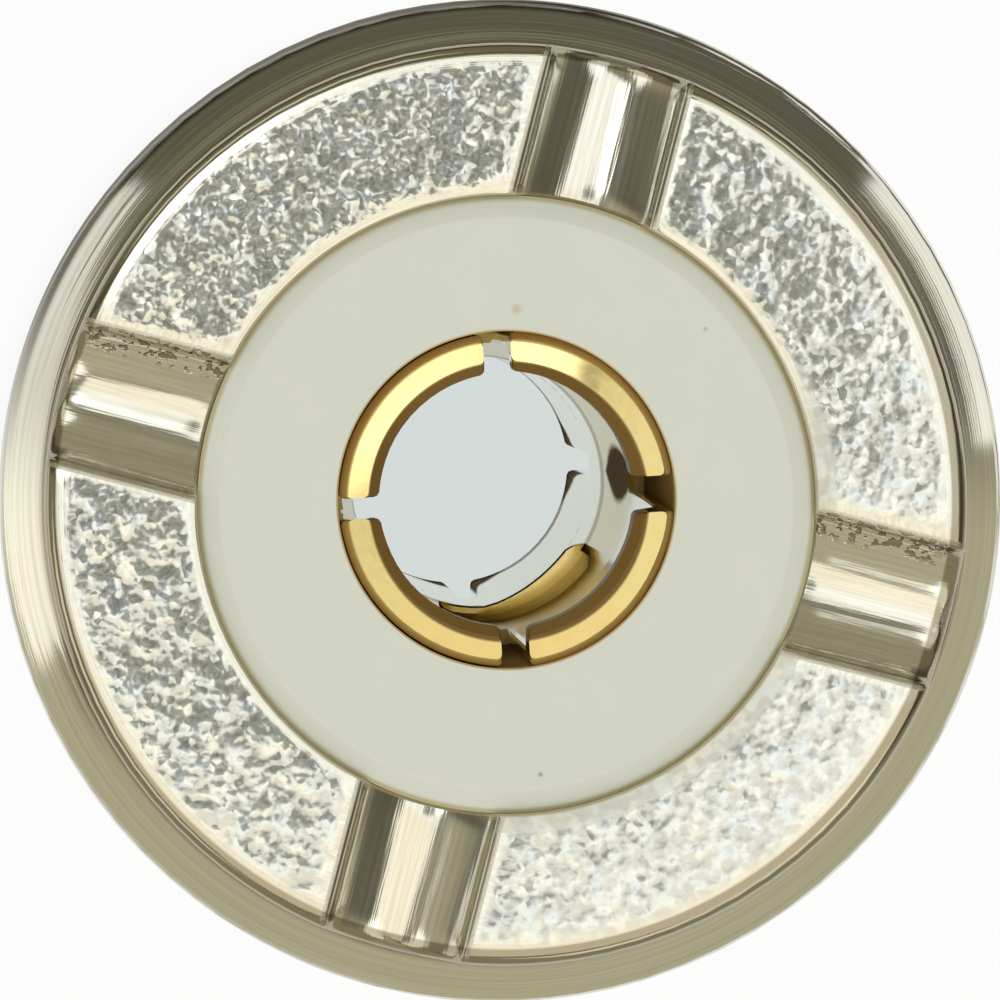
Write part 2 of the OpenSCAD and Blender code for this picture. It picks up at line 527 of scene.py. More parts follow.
# painted shade on the edges of the finger tips
gold_colour = blend(inner_edge_shade, gold_colour, (0.21, 0.115, 0.02))
gold_colour = blend(outer_edge_shade, gold_colour, (0.48, 0.32, 0.10))
gold_roughness = 0.05 + on_tip * (0.06 + 0.12 * brushed)
plug(
    gold_shader,
    Base_Color=gold_colour,
    Metallic=1.0 - (0.7 * edge).math("MAXIMUM", 0.4 * dull),
    Roughness=gold_roughness + drilled * 0.12 + edge * 0.3 + near_step * 0.2,
    Normal=bump(brushed * on_tip * 0.004, 0.5),
)
patch_diffuse = place.node("ShaderNodeBsdfDiffuse", {"Color": (0.85, 0.55, 0.10, 1.0)})
clean_gold = Wire(place.tree, gold_shader.outputs[0])
patched = place.node("ShaderNodeMixShader", {0: slit_patch * 0.95, 1: clean_gold, 2: patch_diffuse})
place.tree.links.new(patched.socket, place.tree.nodes["Material Output"].inputs["Surface"])
count("gold", gold.node_tree)

# %% [markdown]
# ## The body: one half as a rule
# The body's main features follow rules: a helix, four notches a quarter turn apart, and rounded
# edges. So one half is a Geometry Nodes tree. Its columns run parallel beside a notch and fan
# out between notches, which puts an edge of the mesh exactly along each notch's rim. A Boolean could
# cut the notches too, but it leaves thin triangles that spoil the shine of bare metal.

# %% Columns of the body
FILLET, GROOVE, QUARTER = 4, 16, 48  # columns on a notch's rim, across it, and in a quarter turn
COLUMNS = 4 * QUARTER
half_tree, size = new_tree("body_half", BODY, ["Rows per pitch"])
across, up = grid_place(half_tree)
turns = across * 4.0
quarter, local = turns.math("FLOOR"), turns.math("FRACT") * QUARTER
cutter, rim = size["Notch cutter"], size["Notch round"]
widest = ((cutter - size["Notch depth"] + rim) / cutter).math("ARCCOSINE")
swing = ((local - FILLET) / GROOVE).clamp() * 2.0 - 1.0
left = (1.0 - (local / FILLET).clamp()) * (math.pi / 2)
right = ((local - (FILLET + GROOVE)) / FILLET).clamp() * (math.pi / 2)
fan = ((local - (2 * FILLET + GROOVE)) / (QUARTER - 2 * FILLET - GROOVE)).clamp()
fan = 0.5 - (fan * math.pi).math("COSINE") * 0.5
lean = swing * widest
offset = lean.math("SINE") * cutter
offset = offset - rim * (1.0 - left.math("COSINE")) + rim * (1.0 - right.math("COSINE"))
dip = size["Notch depth"] - cutter * (1.0 - lean.math("COSINE"))
dip = dip - rim * (left.math("SINE") + right.math("SINE"))
half_gap = widest.math("SINE") * cutter + rim
print("columns:", COLUMNS, "with", GROOVE, "across each notch")

# %% [markdown]
# The floors of the notches fall a little outwards, and the end face has worn down along all its edges.
# Small functions say this for any radius, so that neighbouring sheets agree where they meet.

# %% Angles, depths and wear at any radius
FLOOR_FALL = 0.1  # share by which a notch gets deeper for each millimetre outwards
TRUE_RADIUS = 6.0  # radius at which a notch has its true depth
worn_edge = size["Worn edge"]
full_wear = worn_edge * WEAR


def notch_dip(radius):
    """Depth of the notch in each column: its floor falls a little towards the outside."""
    return dip * (1.0 + FLOOR_FALL * (radius - TRUE_RADIUS))


def column_angle(radius):
    """Angle of each column at a radius, so that columns beside a notch stay parallel."""
    spread = fan * (math.pi / 2 - 2.0 * (half_gap / radius).math("ARCSINE"))
    return quarter * (math.pi / 2) + (offset / radius).math("ARCSINE") + spread + NOTCH_TURN


def from_groove(radius):
    """How far a column stands from the nearest notch at a radius."""
    start = (half_gap / radius).math("ARCSINE")
    nearest = fan.math("MINIMUM", 1.0 - fan)
    return (start + nearest * (math.pi / 2 - 2.0 * start)).math("SINE") * radius - half_gap


def sunk(gap):
    """How far the end face has worn down, at a distance from one of its edges."""
    worn = 1.0 - (gap / worn_edge).clamp()
    return worn * worn * worn_edge * WEAR


print("edges worn by up to", round(BODY["Worn edge"] * WEAR, 4), "mm")

# %% [markdown]
# The thread is a sheet whose rows climb by one pitch in a turn, so every row follows a crest,
# a flank or a root exactly. Rows that climb past an end are held there, and welding removes them.

# %% The thread's rows
length = size["Half length"] * 2.0
crest, nose, bore = size["Crest radius"], size["Nose radius"], size["Bore radius"]
outside, inside = column_angle(nose), column_angle(bore)
band_top = size["Half length"] + size["Band width"] * 0.5
thread_low = band_top + size["Relief width"]
thread_high = length - size["Nose length"]
pitch, fine = size["Pitch"], size["Rows per pitch"]
THREAD_PHASE = 12 / 32  # share of a turn at which the thread meets the nose
WHOLE_TURNS = 64.0  # added so that the share of a turn is never negative
rows = ((thread_high - thread_low) / pitch + 1.0).math("CEIL") * fine
climb = (outside - NOTCH_TURN) / (2 * math.pi)
base = thread_high - (1.0 - up) * rows / fine * pitch
level = (base + climb * pitch).math("MAXIMUM", thread_low).math("MINIMUM", thread_high)
turn = (level - climb * pitch - thread_high) / pitch
phase = (turn + (WHOLE_TURNS + THREAD_PHASE)).math("FRACT")
count("thread", half_tree)

# %% [markdown]
# Across one pitch the thread has a root, two flanks and a crest, with rounded corners. The cut gets
# deeper over the first turn. A cone leads in from the nose: it bulges slightly, and two fine lines are
# scored in it.

# %% The thread's form
ROOT_PLACE, HALF_ROOT, FLANK = 9 / 16, 2 / 16, 5 / 16  # shares of a pitch
BULGE = 0.2
SCORED, SCORE_DEPTH, SCORE_SHARPNESS = (21 / 32, 12 / 32), 0.007, 32.0
ridge = (abs(phase - ROOT_PLACE) - HALF_ROOT) / FLANK
ridge = ridge.math("SMOOTH_MAX", 0.0, 0.10).math("SMOOTH_MIN", 1.0, 0.14)
start_of_cut = (thread_high - level).step(0.35, 1.5)
thread = crest - size["Thread depth"] * (1.0 - ridge) * start_of_cut
lead_height = crest - nose
lead_share = (thread_high - level) / lead_height
lead = nose + lead_height * lead_share * (1.0 + BULGE - BULGE * lead_share.math("MINIMUM", 1.5))
for scored in SCORED:
    lead = lead - SCORE_DEPTH * (1.0 - abs(phase - scored) * SCORE_SHARPNESS).clamp()
thread = thread.math("SMOOTH_MIN", lead, 0.04)
thread = thread.math("MINIMUM", size["Relief radius"] + (level - thread_low))
thread_sheet = roll(sheet(half_tree, COLUMNS, rows), outside, thread, level)
count("thread", half_tree)

# %% [markdown]
# Below the thread is a groove where the threading tool ran out, then half of the plain band at the
# middle. Above the thread is the plain nose, whose upper border follows the notches.

# %% Band and nose
band_points = [
    (crest, size["Half length"]),
    (crest, band_top - size["Band bevel"]),
    (crest - size["Band bevel"], band_top),
    (size["Relief radius"], band_top),
    (size["Relief radius"], thread_low),
]
band_sheet = roll(sheet(half_tree, COLUMNS, 4), outside, *along(up, band_points))
nose_round, bore_round = size["Nose round"], size["Bore round"]
nose_top = length - notch_dip(nose) - nose_round - full_wear - sunk(from_groove(nose))
nose_sheet = roll(
    sheet(half_tree, COLUMNS, 4), outside, nose, thread_high + (nose_top - thread_high) * up
)
count("band and nose", half_tree)

# %% [markdown]
# The end face is one sheet from the nose over its rounded edge, across the flats and notches, and
# round into the bore. Its rows lie closer together near the edges, where the form changes fastest.

# %% End face
ROUND_ROWS, FLAT_ROWS, MOUTH_ROWS = 6, 24, 3
face_rows = ROUND_ROWS + FLAT_ROWS + MOUTH_ROWS
row = up * face_rows
over = (row / ROUND_ROWS).clamp() * (math.pi / 2)
inward = ((row - ROUND_ROWS) / FLAT_ROWS).clamp()
inward = 0.5 - (inward * math.pi).math("COSINE") * 0.5
down = ((row - (ROUND_ROWS + FLAT_ROWS)) / MOUTH_ROWS).clamp() * (math.pi / 2)
face_radius = nose - nose_round * (1.0 - over.math("COSINE"))
face_radius = face_radius - (nose - nose_round - bore - bore_round) * inward
face_radius = face_radius - bore_round * down.math("SINE")
face_level = length - notch_dip(face_radius) - nose_round * (1.0 - over.math("SINE"))
face_level = face_level - bore_round * (1.0 - down.math("COSINE"))
from_nose, from_bore = nose - nose_round - face_radius, face_radius - bore - bore_round
for gap in (from_nose, from_bore, from_groove(face_radius)):
    face_level = face_level - sunk(gap)
face_sheet = roll(
    sheet(half_tree, COLUMNS, face_rows), column_angle(face_radius), face_radius, face_level
)
print("end face:", face_rows, "rows from the nose into the bore")

# %% [markdown]
# The bore is a plain tube down to the rib that holds the bushings apart. With it the half is whole.

# %% Bore and rib
rib_top = size["Half length"] + size["Rib width"] * 0.5
bore_top = length - notch_dip(bore) - bore_round - full_wear - sunk(from_groove(bore))
bore_sheet = roll(sheet(half_tree, COLUMNS, 4), inside, bore, bore_top + (rib_top - bore_top) * up)
rib = size["Rib radius"]
rib_points = [(bore, rib_top), (rib, rib_top), (rib, size["Half length"])]
rib_sheet = roll(sheet(half_tree, COLUMNS, 2), inside, *along(up, rib_points))
half_sheets = [band_sheet, thread_sheet, nose_sheet, face_sheet, bore_sheet, rib_sheet]
send(half_tree, close(half_tree, half_sheets))
count("body half", half_tree)

# %% [markdown]
# The two ends are alike, so the whole body is the half and the same half turned end for end
# about a notch's own line, which keeps the notches in line. A Mirror modifier would be simpler, but it
# would make the second thread left-handed. The far thread is out of sight and has fewer rows.

# %% The whole body
FRONT_ROWS, REAR_ROWS = 32, 16  # rows in each pitch of the thread
body_tree, body_size = new_tree("threaded_body", BODY)
front, rear = [use(body_tree, half_tree, body_size, {}) for end in ("front", "rear")]
front.socket.node.inputs["Rows per pitch"].default_value = FRONT_ROWS
rear.socket.node.inputs["Rows per pitch"].default_value = REAR_ROWS
turned = {"Rotation": (math.pi, 0.0, 2 * NOTCH_TURN), "Translation": (0.0, 0.0, LENGTH)}
rear = rear.node("GeometryNodeTransform", {"Geometry": rear, **turned})
send_finished(body_tree, close(body_tree, [front, rear]), nickel)
plated_body = plain_mesh("plated_body", body_tree, BODY, sharp=38)

# %% [markdown]
# ## The bushings
# Each bushing is a plain turned ring with a bevelled rim and a low bead where the bevel meets the
# face, so it is one outline, rolled up. Its hole is a little off centre, so the points then move
# sideways, most at the hole and not at all at the rim. The far bushing is the same one turned over.

# %% Bushings
EDGE, HOLE_EDGE = 0.006, 0.03  # broken edges at the bore and at the hole
BEAD, BEAD_OUT, BEAD_IN = 0.004, 0.03, 0.05  # height of the bead, and its width on either side
RING_COLUMNS = 192
BUSHING = {
    "Hole radius": 2.63,
    "Outer radius": 4.822,
    "Inner end": LENGTH / 2 + 1.0,
    "Face": LENGTH - 0.1,
    "Rim bevel": 0.36,
    "Rim drop": 0.14,
    "Hole off centre": OFF_CENTRE,
}
bushing_tree, size = new_tree("bushing", BUSHING)
across, up = grid_place(bushing_tree)
hole, outer, face = size["Hole radius"], size["Outer radius"], size["Face"]
outline = [
    (hole, size["Inner end"]),
    (outer, size["Inner end"]),
    (outer, face - size["Rim drop"] - EDGE),
    (outer - EDGE, face - size["Rim drop"]),
    (outer - size["Rim bevel"] + BEAD_OUT, face - 2 * BEAD),
    (outer - size["Rim bevel"], face + BEAD),
    (outer - size["Rim bevel"] - BEAD_IN, face),
    (hole + HOLE_EDGE, face),
    (hole, face - HOLE_EDGE),
    (hole, size["Inner end"]),
]
ring_radius, ring_level = along(up, outline)
ring = sheet(bushing_tree, RING_COLUMNS, len(outline) - 1)
ring = roll(ring, across * (2 * math.pi), ring_radius, ring_level)
ring_x, ring_y, _ = ring.node("GeometryNodeInputPosition").xyz()
inside_rim = outer - hypot(ring_x, ring_y)
off_centre = size["Hole off centre"] * inside_rim / (outer - hole)
shift = ring.node("ShaderNodeCombineXYZ", {1: off_centre})
ring = ring.node("GeometryNodeSetPosition", {"Geometry": ring, "Offset": shift})
send_finished(bushing_tree, close(bushing_tree, [ring]), plastic)
front_bushing = plain_mesh("front_bushing", bushing_tree, BUSHING, sharp=38)
rear_bushing = plain_mesh("rear_bushing", bushing_tree, BUSHING, sharp=38)
turn_over = Matrix.Translation((0, 0, LENGTH * MM)) @ Matrix.Rotation(math.pi, 4, "Y")
rear_bushing.data.transform(turn_over)

# %% [markdown]
# ## The contact
# A gold tube is slit lengthwise into four spring fingers at each end. A Boolean could cut the slits,
# but it would leave sharp corners. So one quarter of one end is modelled, with one slit and one
# finger, and the tree repeats it round the axis. Last come the marks of use.

# %% Sizes of the contact
CONTACT = {
    "Outer radius": 2.622,
    "Hole radius": 2.36,
    "Rear hole radius": 2.10,
    "Hole foot": 0.085,
    "Step slope": 0.14,
    "Rear hole foot": 0.06,
    "Lip radius": 2.0,
    "Lip length": 1.2,
    "Stop height": 0.22,
    "Slit width": 0.45,
    "Slit length": 10.0,
    "Collar radius": 3.6,
    "Collar width": 2.0,
    "Half length": LENGTH / 2 - 0.15,
    "Tip round": 0.11,
    "Corner round": 0.08,
    "Lead-in": 0.16,
    "Finger pinch": 0.01,
    "Finger splay": 0.014,
    "Off centre": OFF_CENTRE,
}
SLIT, FINGER = 2, 20  # columns across a slit and a finger
WALL, TIP = 8, 3  # rows along a finger's wall and over its tip
FADE = 0.6  # length over which a finger's rounded corners begin
print("contact:", len(CONTACT), "sizes")

# %% [markdown]
# A finger's outline goes up its outside, over the tip and down its inside, past the lip that grips
# the plug's pin. A slit has parallel sides, so the angle it takes up depends on the radius.

# %% Outlines of one quarter of an end
finger_tree, size = new_tree("contact_quarter", CONTACT)
across, up = grid_place(finger_tree)
outer, hole, lip = size["Outer radius"], size["Hole radius"], size["Lip radius"]
end, root = size["Half length"], size["Half length"] - size["Slit length"]
half_slit, tip, lead = size["Slit width"] * 0.5, size["Tip round"], size["Lead-in"]


def shares(across):
    """How far a column has come across the slit, and then across the finger."""
    column = across * (SLIT + FINGER)
    return (column / SLIT).clamp(), ((column - SLIT) / FINGER).clamp()


def slit_angle(half_slit, radius, slit_share, finger_share):
    """Angle across one quarter: along the slit, then along the finger."""
    side = (half_slit / radius).math("ARCSINE")
    in_slit = ((slit_share * 2.0 - 1.0) * half_slit / radius).math("ARCSINE")
    return in_slit + finger_share * (math.pi / 2 - 2.0 * side)


lip_foot = end - size["Lip length"]
relief_top = lip_foot - (hole - lip) * 2.0
outer_line = [
    (outer, root),
    (outer, end - tip * 0.6),
    (outer - tip * 0.4, end - tip * 0.28),
    (outer - tip, end),
]
inner_line = [
    (lip + lead, end),
    (lip, end - lead * 0.55),
    (lip, lip_foot),
    (hole, relief_top),
    (hole, root),
]
OUTER_ROWS, INNER_ROWS = [WALL, 1, 1], [1, 1, 1, WALL - 1]
print("finger outline:", len(outer_line + inner_line), "points")

# %% [markdown]
# Below the slits the contact is a whole tube, with a collar that is held between the bushings.

# %% Tube below the fingers
collar, collar_top = size["Collar radius"], size["Collar width"] * 0.5
stem = [(collar, 0.0), (collar, collar_top), (outer, collar_top), (outer, root)]
out_angle, in_angle = [slit_angle(half_slit, radius, *shares(across)) for radius in (outer, hole)]
tube_out = roll(sheet(finger_tree, SLIT + FINGER, 3), out_angle, *along(up, stem))
tube_level = root + (size["Hole foot"] - root) * up
tube_in = roll(sheet(finger_tree, SLIT + FINGER, 3), in_angle, hole, tube_level)
count("tube", finger_tree)

# %% [markdown]
# The finger is one sheet, and its corners beside the slits are rounded: near a slit the outside moves
# in and the inside moves out. The columns lie closest together there.

# %% One finger
finger_rows = [*OUTER_ROWS, TIP, *INNER_ROWS]
finger_radius, finger_level = along(up, outer_line + inner_line, finger_rows)
corner = size["Corner round"]
spread = 0.5 - (across * math.pi).math("COSINE") * 0.5
finger_span = math.pi / 2 - 2.0 * (half_slit / finger_radius).math("ARCSINE")
from_slit = spread.math("MINIMUM", 1.0 - spread) * finger_radius * finger_span
short = 1.0 - (from_slit / corner).clamp()
rounding = corner * (1.0 - (1.0 - short * short).math("SQRT"))
rounding = rounding * (finger_level - root).step(0.0, FADE)
side = ((up * sum(finger_rows) - sum(OUTER_ROWS)) / TIP).clamp() * 2.0 - 1.0
finger_radius = finger_radius + rounding * side
finger = roll(
    sheet(finger_tree, FINGER, sum(finger_rows)),
    slit_angle(half_slit, finger_radius, 1.0, spread),
    finger_radius,
    finger_level,
)
print("finger:", FINGER, "columns,", sum(finger_rows), "rows")

# %% [markdown]
# Two flat walls close the finger where the slits were sawn, and a small floor ends each slit.

# %% Walls and floor of a slit
near_radius, near_level = along(up, outer_line, OUTER_ROWS)
far_radius, far_level = along(up, inner_line[::-1], INNER_ROWS[::-1])
near_radius = near_radius - corner * (near_level - root).step(0.0, FADE)
far_radius = far_radius + corner * (far_level - root).step(0.0, FADE)
walls = []
for share, through in ((0.0, across), (1.0, 1.0 - across)):
    wall_radius = near_radius + (far_radius - near_radius) * through
    wall_level = near_level + (far_level - near_level) * through
    wall_angle = slit_angle(half_slit, wall_radius, 1.0, share)
    wall = sheet(finger_tree, TIP, sum(OUTER_ROWS))
    walls.append(roll(wall, wall_angle, wall_radius, wall_level))
floor_radius = outer - (outer - hole) * up
floor_angle = slit_angle(half_slit, floor_radius, across, 0.0)
slit_floor = roll(sheet(finger_tree, SLIT, TIP), floor_angle, floor_radius, root)
quarter_end = close(finger_tree, [tube_out, tube_in, finger, *walls, slit_floor])
print("walls:", len(walls), "for each finger")

# %% [markdown]
# Four instances of the quarter, each turned further, make one end of the contact. They are then made
# real, so that their shared edges can be welded.

# %% Four quarters round the axis
STILL = (0.0, 0.0, 0.0)
ring_points = quarter_end.node("GeometryNodeMeshLine", {"Count": 4, "Offset": STILL})
index = quarter_end.node("GeometryNodeInputIndex")
spin = quarter_end.node("ShaderNodeCombineXYZ", {2: index * (math.pi / 2) + SLIT_TURN})
quarters = {"Points": ring_points, "Instance": quarter_end, "Rotation": spin}
quarters = quarter_end.node("GeometryNodeInstanceOnPoints", quarters)
send(finger_tree, close(finger_tree, [quarters]))
count("contact quarter", finger_tree)

# %% [markdown]
# The front hole is drilled wider than the rear one, which leaves a small step half way down.
# It can be seen through the mouth as a gold crescent. The rear end is the same tree with the sizes of
# its own hole, turned end for end.

# %% The whole contact
REAR_SIZES = {
    "Hole radius": "Rear hole radius",
    "Lip radius": "Rear hole radius",
    "Hole foot": "Rear hole foot",
}
contact_tree, size = new_tree("finger_contact", CONTACT)
front, rear = [use(contact_tree, finger_tree, size, renamed) for renamed in ({}, REAR_SIZES)]
turned = {"Rotation": (math.pi, 0.0, 2 * SLIT_TURN)}
rear = rear.node("GeometryNodeTransform", {"Geometry": rear, **turned})
across, up = grid_place(contact_tree)
turns = across * 4.0
quarter = turns.math("FLOOR")
wide, narrow, foot = size["Hole radius"], size["Rear hole radius"], size["Hole foot"]
ledge = [
    (wide, foot),
    (wide - size["Step slope"], 0.0),
    (narrow + 0.03, foot * -0.2),
    (narrow, -size["Rear hole foot"]),
]
step_radius, step_level = along(up, ledge)
step_angle = slit_angle(size["Slit width"] * 0.5, step_radius, *shares(turns.math("FRACT")))
step_angle = step_angle + quarter * (math.pi / 2) + SLIT_TURN
step = roll(sheet(contact_tree, 4 * (SLIT + FINGER), 3), step_angle, step_radius, step_level)
both = close(contact_tree, [front, rear, step])
count("contact", contact_tree)

# %% [markdown]
# The front tips look filed: they fall outwards, dip at one corner, and one finger has a flat facet.
# The points could be pushed by hand in Edit Mode, but sums of their positions stay adjustable.

# %% Filed tips
TIP_FALL, FACET_FALL, DISH = 0.052, 0.13, 0.05
x, y, z = both.node("GeometryNodeInputPosition").xyz()
out_from = hypot(x, y)
root = size["Half length"] - size["Slit length"]
reach = ((abs(z) - root) / size["Slit length"]).clamp()
cosine, sine = math.cos(SLIT_TURN), math.sin(SLIT_TURN)
from_side_slit = y * cosine - x * sine
side_x, side_y = (x * cosine + y * sine).math("SIGN"), from_side_slit.math("SIGN")
on_right, above = side_x.math("GREATER_THAN", 0.0), side_y.math("GREATER_THAN", 0.0)
is_front = z.math("GREATER_THAN", 0.0)
on_facet = on_right * above
slope = (out_from - 2.1).math("MAXIMUM", 0.0) * TIP_FALL
facet = (0.3 * y - 0.95 * x + 0.586).math("MAXIMUM", 0.0) * FACET_FALL * on_facet
towards_corner = ((y - x) * math.sqrt(0.5) - 1.2).math("MAXIMUM", 0.0)
dished = towards_corner * towards_corner * DISH * (1.0 - on_facet)
filed = (dished + facet + slope) * reach.step(0.95, 0.97) * is_front
print("tips fall by", TIP_FALL, "mm for each mm outwards")

# %% [markdown]
# On most sides the front hole narrows towards the step and hides it. On the other side the step shows,
# with a low ridge. Both are moves of the points towards the axis.

# %% Taper and ridge in the hole
RIDGE_WIDTH = 0.23
towards_ledge = (x * math.cos(LEDGE) + y * math.sin(LEDGE)) / out_from
swage_side = 1.0 - towards_ledge.step(0.79, 0.83)
swage = swage_side * ((root - z) / root).clamp() * (1.0 - out_from.step(2.42, 2.46))
swage = swage * (z + 0.07).step(0.0, 0.001)
inward = (out_from - size["Rear hole radius"]).math("MAXIMUM", 0.0) * swage
stop = (1.0 - swage_side) * (1.0 - abs(z).step(0.07, 0.08))
stop = stop * ((size["Hole radius"] - out_from) / RIDGE_WIDTH).clamp()
towards_stop = (x * math.cos(STOP) + y * math.sin(STOP)) / out_from
stop = stop * ((towards_stop - 0.68) / 0.32).clamp()
inward = (inward + stop * size["Stop height"]) / out_from
print("ridge:", CONTACT["Stop height"], "mm high")

# %% [markdown]
# A finger bends from its root, so its move grows with the square of the height. The front fingers are
# pinched together, and three of their ends have been pushed sideways beside the slits.

# %% Bent fingers
LEFT_LOW, LEFT_RISE, RIGHT_LOW = 0.055, 0.10, 0.13  # sideways moves of the ends
bend = reach * reach
pinch = bend * size["Finger pinch"] * -math.sqrt(0.5) * (0.25 + 0.75 * is_front)
move_x = side_x * pinch
move_y = side_y * pinch + side_x * side_y * bend * size["Finger splay"] * is_front
end_shift = (1.0 - on_right) * (LEFT_LOW - LEFT_RISE * above) - on_right * (1.0 - above) * RIGHT_LOW
move_y = move_y + end_shift * (1.0 - abs(from_side_slit)).clamp() * bend * is_front
bent = both.node(
    "ShaderNodeCombineXYZ",
    {
        0: x * (1.0 - inward) + move_x * cosine - move_y * sine,
        1: y * (1.0 - inward) + move_x * sine + move_y * cosine + size["Off centre"],
        2: z - filed,
    },
)
both = both.node("GeometryNodeSetPosition", {"Geometry": both, "Position": bent})
send_finished(contact_tree, both, gold, lift=LENGTH / 2)
finger_contact = plain_mesh("finger_contact", contact_tree, CONTACT, sharp=20)

# %% [markdown]
# ## Pieces on the frame
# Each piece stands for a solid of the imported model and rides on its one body.

# %% Hand the pieces to the frame
PIECES = [
    (plated_body, "body", "plated_shell"),
    (front_bushing, "front_insulator", "insulator"),
    (rear_bushing, "rear_insulator", "insulator"),
    (finger_contact, "center_contact", "gold_contact"),
]
for piece, node, slot in PIECES:
    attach(piece, "root")
    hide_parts(node)
    print(piece.name, "stands for", node)

# %% [markdown]
# ## Floor and light
# The part stands on a pale floor that looks evenly lit, with a painted shadow under the part that
# shows through the hole. Strong lamps could light it, but the metal would mirror them. So what sees
# the floor meets a glow, and only the soft light that it gives back comes from its paint.


# %% Helpers for the stage
def flat_disc(name, radius, points=96):
    """A flat round piece of the stage, at zero height."""
    mesh = bpy.data.meshes.new(name)
    turns = [2 * math.pi * i / points for i in range(points)]
    ring = [(radius * math.cos(turn), radius * math.sin(turn), 0.0) for turn in turns]
    mesh.from_pydata(ring, [], [list(range(points))])
    return stage_piece(name, mesh)


def stage_piece(name, mesh):
    piece = put(name, mesh)
    return piece


def show(piece, material, shader):
    """Puts a shader on a piece. Its glow isn't sampled as a lamp, which would only add noise."""
    tree = material.node_tree
    tree.links.new(shader.socket, tree.nodes["Material Output"].inputs["Surface"])
    material.cycles.emission_sampling = "NONE"
    piece.data.materials.append(material)


print("stage helpers ready")

# %% Floor
FLOOR_RADIUS = 0.10
floor = flat_disc("floor", FLOOR_RADIUS)
floor_paint, paint, point = finish_of("pale_floor", Roughness=0.55)
specks = noise(point, 0.06, 2.0)
plug(paint, Base_Color=blend(specks, (0.88, 0.89, 0.89), (0.91, 0.92, 0.92)))
rays = point.node("ShaderNodeLightPath").socket.node.outputs
seen = Wire(point.tree, rays["Is Camera Ray"])
for ray in ("Is Glossy Ray", "Is Transmission Ray"):
    seen = seen.math("MAXIMUM", Wire(point.tree, rays[ray]))
x, y, _ = point.xyz()
# painted shadow: the glow is bluish grey under the part and white beyond it
past_painted_shadow = hypot(x, y).step(6.5, 8.5)
floor_tone = blend(past_painted_shadow, (0.69, 0.745, 0.73), (1.0, 1.0, 1.0))
glow = point.node("ShaderNodeEmission", {"Color": floor_tone})
painted = Wire(point.tree, paint.outputs[0])
mixed = point.node("ShaderNodeMixShader", {0: seen * 0.95, 1: painted, 2: glow})
show(floor, floor_paint, mixed)
print("floor radius", FLOOR_RADIUS, "m")

# %% [markdown]
# Bare metal shows what is round it, so the light is laid out as the reflections ask: a broad warm
# panel and a white strip overhead, a white panel low on each side, and one half way up beyond each
# flat. A picture of a studio would light the part too, but its lamps could not be moved one by one.


# %% Lamps
def panel(name, centre, facing, width, height, colour, radiance, roll_degrees=0.0):
    """A soft rectangular lamp of a given brightness."""
    lamp = bpy.data.lights.new(name, "AREA")
    lamp.shape, lamp.size, lamp.size_y = "RECTANGLE", width, height
    lamp.color, lamp.energy = colour, radiance * math.pi * width * height
    made = put(name, lamp)
    made.location = centre
    made.rotation_mode = "QUATERNION"
    upright = Vector(facing).to_track_quat("-Z", "Y")
    made.rotation_quaternion = upright @ Quaternion((0, 0, 1), math.radians(roll_degrees))
    made.visible_camera = False
    print(name, "radiance", radiance)


panel("white_overhead", (0.19, 0.11, 1.20), (0, 0, -1), 1.06, 0.44, (1.0, 1.0, 0.98), 1.20)
panel("warm_overhead", (0.19, -0.34, 1.20), (0, 0, -1), 1.06, 0.46, (1.0, 0.94, 0.79), 1.14)
panel("bright_corner", (-0.21, 0.21, 1.12), (0.21, -0.21, -1.12), 0.2, 0.2, (1.0, 0.98, 0.92), 1.55)
panel("left_panel", (-1.25, 0.22, -0.02), (1, -0.18, 0), 1.5, 0.60, (1.0, 1.0, 0.97), 0.78, 14.0)
panel("right_panel", (1.16, 0.47, -0.22), (-1, -0.4, 0), 0.75, 0.44, (1.0, 1.0, 0.97), 1.0)
for corner in (30.5, 120.5, 210.5, 300.5):
    away = Vector((math.cos(math.radians(corner)), math.sin(math.radians(corner)), 1.25))
    panel(f"corner_panel_{int(corner)}", away * 0.8, -away, 0.70, 0.42, (0.97, 1.0, 1.0), 1.2)

# %% [markdown]
# Between the lamps the metal mirrors the room: darker walls behind, warm ones in front. A ball round
# the whole stage carries these tones. The camera itself doesn't see it.

# %% Surround
SURROUND = 2.4
STEPS = 48
AROUND = 2 * STEPS


def ball_point(i, k):
    down, turn = math.pi * i / STEPS, math.pi * k / STEPS
    level = SURROUND * math.sin(down)
    return level * math.cos(turn), level * math.sin(turn), SURROUND * math.cos(down)


def ball_face(i, k):
    low, high, after = i * AROUND, (i + 1) * AROUND, (k + 1) % AROUND
    return [low + k, low + after, high + after, high + k]


ball = bpy.data.meshes.new("surround")
ball_points = [ball_point(i, k) for i in range(STEPS + 1) for k in range(AROUND)]
ball.from_pydata(ball_points, [], [ball_face(i, k) for i in range(STEPS) for k in range(AROUND)])
surround = stage_piece("surround", ball)
surround.visible_camera = False
surround_paint, unlit, point = finish_of("surround_tones")
point.tree.nodes.remove(unlit)
x, y, z = [distance / (SURROUND / MM) for distance in point.xyz()]
back_wall = y.step(0.22, 0.50) * z.step(0.08, 0.22)
front_wall = (-y).step(0.30, 0.60)
left_wall = (-x).step(0.2, 0.5) * (-y).step(-0.22, -0.08) * z.step(0.2, 0.4)
front_wall = front_wall.math("MAXIMUM", left_wall * 0.8)
low_wall = (-y).step(-0.25, 0.10) * (1.0 - z.step(0.05, 0.30))
tone = blend(back_wall, (0.14, 0.13, 0.092), (0.36, 0.335, 0.225))
tone = blend(front_wall.math("MAXIMUM", low_wall), tone, (0.53, 0.50, 0.355))
show(surround, surround_paint, tone.node("ShaderNodeEmission", {"Color": tone}))
print("surround radius", SURROUND, "m")

# %% [markdown]
# ## Camera
# The photograph looks almost straight down the axis, and the rim of the thread fills it. The lens is
# worked out from the distance and the width over the crests.

